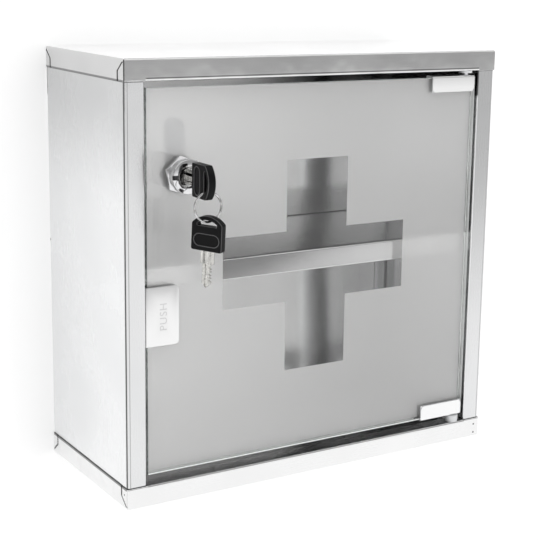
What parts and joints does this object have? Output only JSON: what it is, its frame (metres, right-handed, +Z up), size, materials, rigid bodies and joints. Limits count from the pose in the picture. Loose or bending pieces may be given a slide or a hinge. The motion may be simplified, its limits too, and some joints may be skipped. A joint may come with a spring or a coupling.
{
  "type": "wall-hung medicine cabinet",
  "caption": "Small square wall-hung stainless medicine cabinet with a shelf and a hinged frosted glass door that has a clear cross, a cam lock with keys and a push catch.",
  "frame": {"origin": "on the wall plane, in the middle of the four wall screw holes", "axes": "+X to the right seen from the front, +Y into the wall, +Z up; the door faces -Y"},
  "size_m": [0.3, 0.174, 0.3],
  "materials": {
    "stainless": "satin stainless sheet",
    "zinc_plated_steel": "zinc plated",
    "hinge_pin_steel": "ground steel",
    "white_plastic": "moulded nylon",
    "grey_plastic": "moulded acetal",
    "clear_glass": "clear toughened glass",
    "frosted_film": "frosted translucent film",
    "black_rubber": "moulded rubber",
    "polished_chrome": "chrome plated",
    "lock_brass": "dull nickel over brass",
    "key_steel": "nickel plated",
    "black_key_plastic": "fine satin moulded plastic",
    "magnet": "nickelled magnet in a steel cup"
  },
  "bodies": {
    "cabinet": {"top_cap": "stainless", "bottom_pan": "stainless", "left_side_panel": "stainless", "right_side_panel": "stainless", "back_panel": "stainless", "shelf": "stainless", "shelf_rail_left": "stainless", "shelf_rail_right": "stainless", "hinge_plate_top": "zinc_plated_steel", "hinge_plate_bottom": "zinc_plated_steel", "pivot_bush_top": "white_plastic", "pivot_bush_bottom": "white_plastic", "thrust_washer": "white_plastic", "latch_bracket": "zinc_plated_steel", "latch_housing": "grey_plastic", "latch_screws": "zinc_plated_steel", "latch_spring": "zinc_plated_steel"},
    "door": {"door_glass": "clear_glass", "frosted_film": "frosted_film", "hinge_clip_top": "stainless", "hinge_clip_bottom": "stainless", "clip_liner_top": "white_plastic", "clip_liner_bottom": "white_plastic", "clip_screws": "zinc_plated_steel", "hinge_pin_top": "hinge_pin_steel", "hinge_pin_bottom": "hinge_pin_steel", "push_plate": "stainless", "push_plate_liner": "white_plastic", "lock_gasket": "black_rubber", "lock_front_nut": "polished_chrome", "lock_collar": "polished_chrome", "lock_barrel": "polished_chrome", "lock_rear_washer": "zinc_plated_steel", "lock_rear_nut": "zinc_plated_steel"},
    "lock_plug": {"lock_plug": "lock_brass", "lock_wafers": "lock_brass", "lock_cam": "zinc_plated_steel", "cam_washer": "zinc_plated_steel", "cam_screw": "zinc_plated_steel"},
    "key_one": {"key_one_head": "black_key_plastic", "key_one_blade": "key_steel"},
    "key_ring": {"key_ring": "key_steel"},
    "key_two": {"key_two_head": "black_key_plastic", "key_two_blade": "key_steel"},
    "latch_plunger": {"latch_plunger": "white_plastic", "latch_magnet": "magnet"}
  },
  "joints": [
    {"name": "door_hinge", "type": "hinge", "parent": "cabinet", "child": "door", "pos_m": [0.1259, -0.125, 0], "axis": [0, 0, 1], "range_deg": [0, 105]},
    {"name": "lock_turn", "type": "hinge", "parent": "door", "child": "lock_plug", "pos_m": [-0.1076, -0.1371, 0.0734], "axis": [0, -1, 0], "range_deg": [0, 90]},
    {"name": "key_slide", "type": "slide", "parent": "lock_plug", "child": "key_one", "axis": [0, -1, 0], "range_m": [0, 0.03]},
    {"name": "ring_swing", "type": "hinge", "parent": "key_one", "child": "key_ring", "pos_m": [-0.1076, -0.16265, 0.0674], "axis": [1, 0, 0], "range_deg": [-60, 12]},
    {"name": "key_two_swing", "type": "hinge", "parent": "key_ring", "child": "key_two", "pos_m": [-0.1076, -0.16265, 0.0484], "axis": [1, 0, 0], "range_deg": [-40, 20]},
    {"name": "latch_push", "type": "slide", "parent": "cabinet", "child": "latch_plunger", "axis": [0, 1, 0], "range_m": [0, 0.0035], "stiffness_N_per_m": 200, "springref_m": -0.004}
  ]
}
